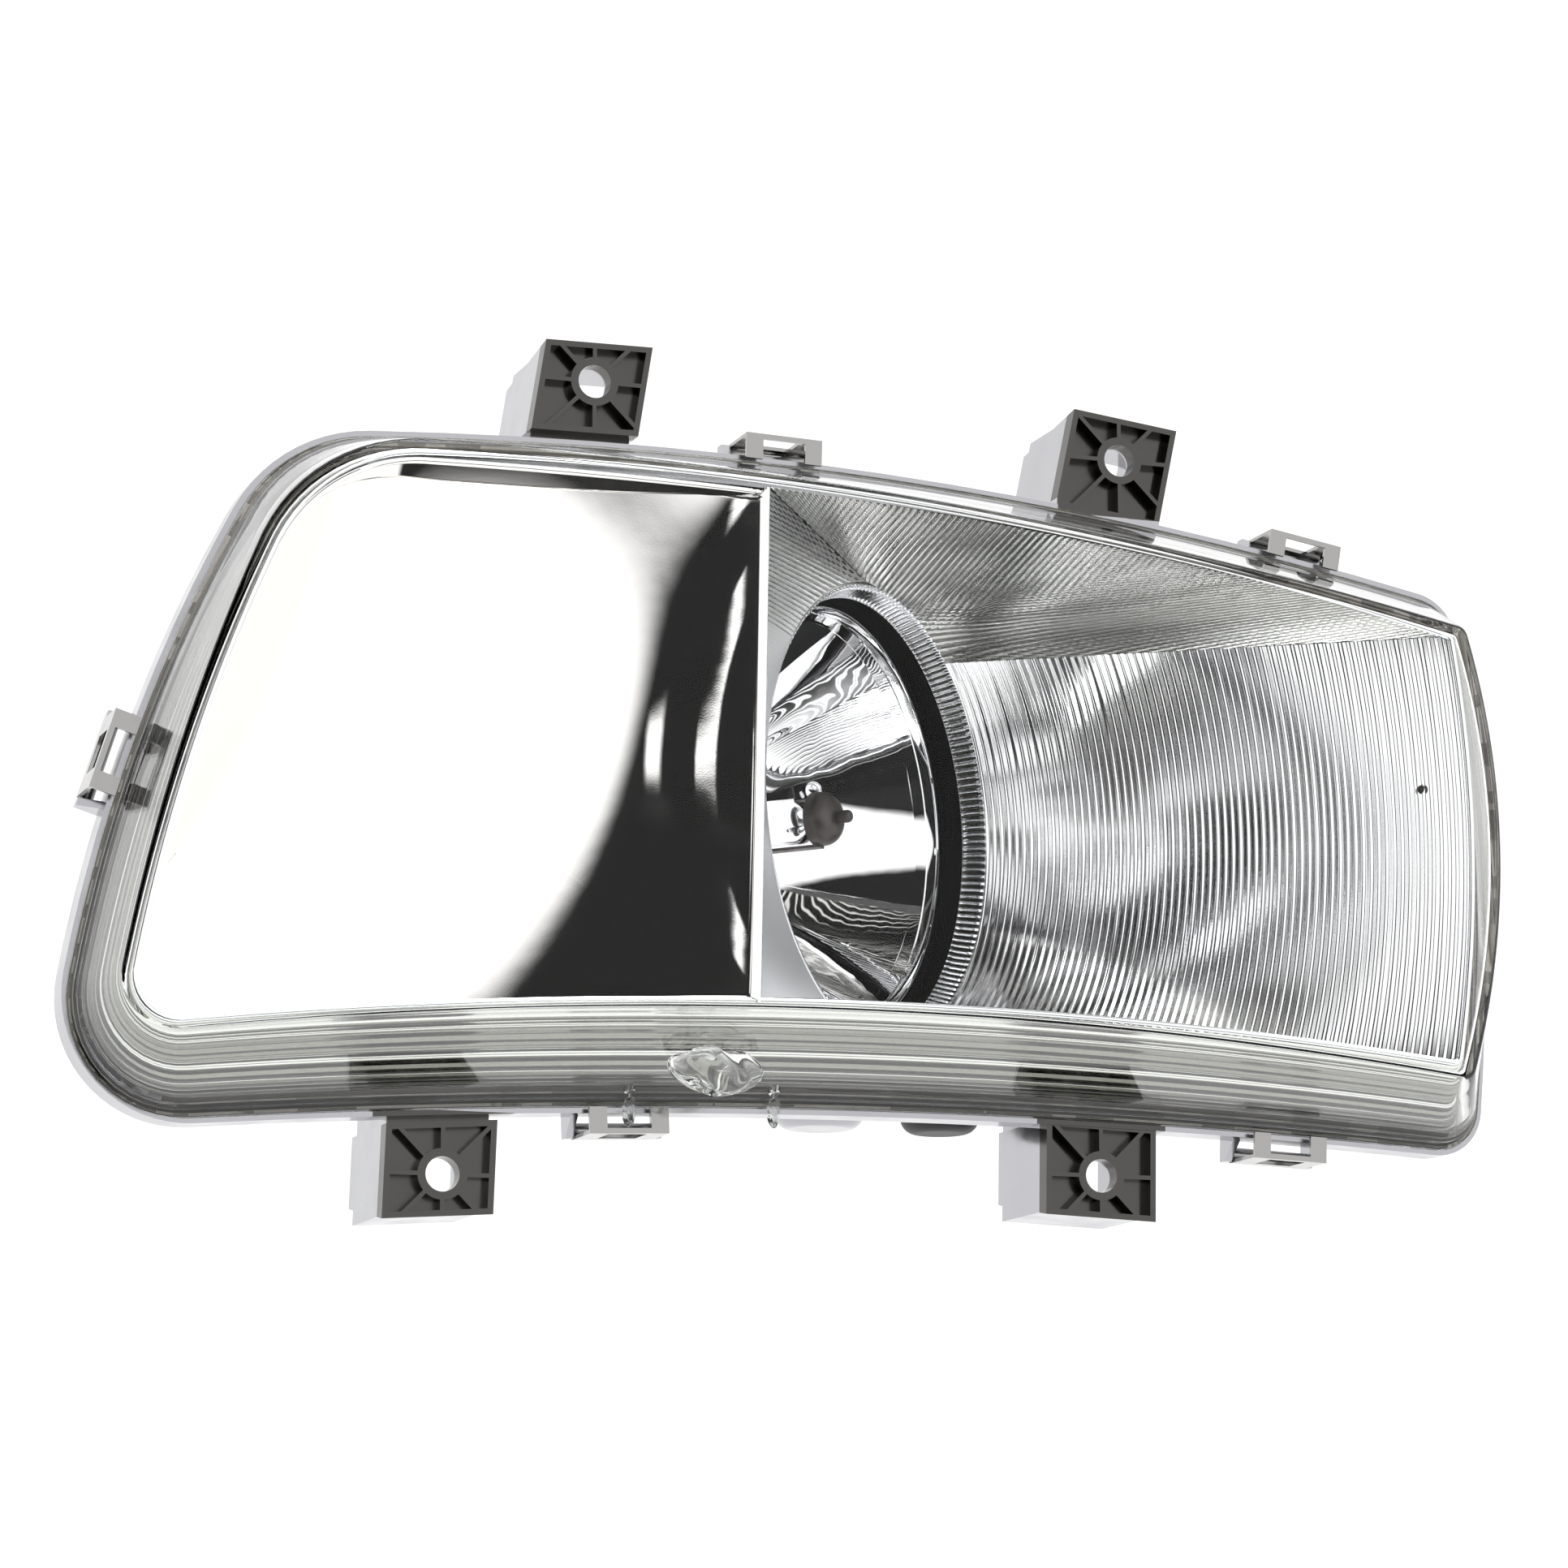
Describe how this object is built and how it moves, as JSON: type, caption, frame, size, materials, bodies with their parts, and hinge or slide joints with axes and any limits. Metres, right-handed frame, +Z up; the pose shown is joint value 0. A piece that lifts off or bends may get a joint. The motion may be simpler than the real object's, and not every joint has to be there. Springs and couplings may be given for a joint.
{
  "type": "car headlight assembly",
  "caption": "Headlamp unit with a swept clear lens, chrome pan and fluted funnel, round aimable reflector, bulb, sprung lens clips and ribbed mounting posts.",
  "frame": {"origin": "centre of the lower outer mounting hole, at the front face of its post", "axes": "+X along the lamp from its outer to its inner end, +Y rearward along the mounting bolts, +Z up"},
  "size_m": [0.5007, 0.1983, 0.2953],
  "materials": {
    "housing_plastic": "dark metallised moulding, satin",
    "clear_lens": "clear polycarbonate, polished",
    "seal_foam": "soft black sealing bead",
    "spring_steel": "bright zinc-plated spring steel",
    "bezel_chrome": "vacuum-metallised plastic, mirror smooth with satin fluted fields",
    "bowl_chrome": "vacuum-metallised reflector, mirror bright",
    "carrier_plastic": "black glass-filled plastic",
    "bulb_metal": "plain bulb cap metal",
    "bulb_glass": "clear quartz glass",
    "shield_bronze": "dark bronze-coloured coated steel",
    "black_plastic": "fine-grained black plastic",
    "white_plastic": "natural nylon",
    "black_rubber": "matt black rubber",
    "plated_steel": "zinc-plated steel"
  },
  "bodies": {
    "housing": {"housing": "housing_plastic", "lens": "clear_lens", "lens_seal": "seal_foam", "bezel": "bezel_chrome", "trim_ring": "bezel_chrome", "cap_seal": "black_rubber", "vent_boot": "black_rubber", "inlet": "black_plastic"},
    "carrier": {"aim_carrier": "carrier_plastic"},
    "reflector": {"reflector": "bowl_chrome", "bulb_base": "bulb_metal", "bulb_glass": "bulb_glass", "bulb_shield": "shield_bronze", "bulb_plug": "black_plastic", "position_holder": "black_plastic", "position_bulb": "bulb_glass"},
    "bulb_wire_clip": {"bulb_wire_clip": "plated_steel"},
    "tilt_stud": {"tilt_stud": "white_plastic"},
    "tilt_screw": {"tilt_screw": "white_plastic"},
    "swing_stud": {"swing_stud": "white_plastic"},
    "swing_screw": {"swing_screw": "white_plastic"},
    "rear_cap": {"rear_cap": "black_plastic"},
    "lens_clip_bottom_left": {"lens_clip_bottom_left": "spring_steel"},
    "lens_clip_bottom_right": {"lens_clip_bottom_right": "spring_steel"},
    "lens_clip_top_right": {"lens_clip_top_right": "spring_steel"},
    "lens_clip_top_middle": {"lens_clip_top_middle": "spring_steel"},
    "lens_clip_left": {"lens_clip_left": "spring_steel"}
  },
  "joints": [
    {"name": "tilt_screw_turn", "type": "hinge", "parent": "housing", "child": "tilt_screw", "pos_m": [0.10401, 0.08435, 0.198], "axis": [-0.6428, 0.766, 0], "range_deg": [-842.6, 842.6]},
    {"name": "tilt_stud_slide", "type": "slide", "parent": "housing", "child": "tilt_stud", "axis": [0.6428, -0.766, 0], "range_m": [-0.00352, 0.00352]},
    {"name": "bowl_tilt", "type": "hinge", "parent": "carrier", "child": "reflector", "pos_m": [0.14257, 0.03839, 0.131], "axis": [0.766, 0.6428, 0], "range_deg": [-3, 3]},
    {"name": "swing_screw_turn", "type": "hinge", "parent": "housing", "child": "swing_screw", "pos_m": [0.15257, 0.11204, 0.076], "axis": [-0.6428, 0.766, 0], "range_deg": [-691.8, 691.8]},
    {"name": "swing_stud_slide", "type": "slide", "parent": "housing", "child": "swing_stud", "axis": [0.6428, -0.766, 0], "range_m": [-0.00289, 0.00289]},
    {"name": "carrier_swing", "type": "hinge", "parent": "housing", "child": "carrier", "pos_m": [0.14257, 0.03839, 0.131], "axis": [0, 0, 1], "range_deg": [-3, 3]},
    {"name": "rear_cap_turn", "type": "hinge", "parent": "housing", "child": "rear_cap", "pos_m": [0.08504, 0.10695, 0.131], "axis": [0.6428, -0.766, 0], "range_deg": [0, 40]},
    {"name": "bulb_wire_clip_swing", "type": "hinge", "parent": "reflector", "child": "bulb_wire_clip", "pos_m": [0.1005, 0.08852, 0.109], "axis": [-0.766, -0.6428, 0], "range_deg": [0, 25]},
    {"name": "lens_clip_bottom_left_swing", "type": "hinge", "parent": "housing", "child": "lens_clip_bottom_left", "pos_m": [0.06128, 0.0146, 0.01773], "axis": [0.9991, 0, 0.0417], "range_deg": [0, 60]},
    {"name": "lens_clip_bottom_right_swing", "type": "hinge", "parent": "housing", "child": "lens_clip_bottom_right", "pos_m": [0.29768, 0.0146, 0.01824], "axis": [0.9993, 0, -0.0374], "range_deg": [0, 60]},
    {"name": "lens_clip_top_right_swing", "type": "hinge", "parent": "housing", "child": "lens_clip_top_right", "pos_m": [0.30807, 0.0146, 0.23133], "axis": [-0.9865, 0, 0.1636], "range_deg": [0, 60]},
    {"name": "lens_clip_top_middle_swing", "type": "hinge", "parent": "housing", "child": "lens_clip_top_middle", "pos_m": [0.11457, 0.0146, 0.25], "axis": [-0.9996, 0, 0.0281], "range_deg": [0, 60]},
    {"name": "lens_clip_left_swing", "type": "hinge", "parent": "housing", "child": "lens_clip_left", "pos_m": [-0.11182, 0.0146, 0.12953], "axis": [-0.2964, 0, -0.9551], "range_deg": [0, 60]}
  ],
  "couplings": [
    {"joint": "tilt_stud_slide", "follows": "bowl_tilt", "m_per_rad": 0.067},
    {"joint": "tilt_screw_turn", "follows": "bowl_tilt", "ratio": 280.65},
    {"joint": "swing_stud_slide", "follows": "carrier_swing", "m_per_rad": -0.055},
    {"joint": "swing_screw_turn", "follows": "carrier_swing", "ratio": -230.38}
  ]
}
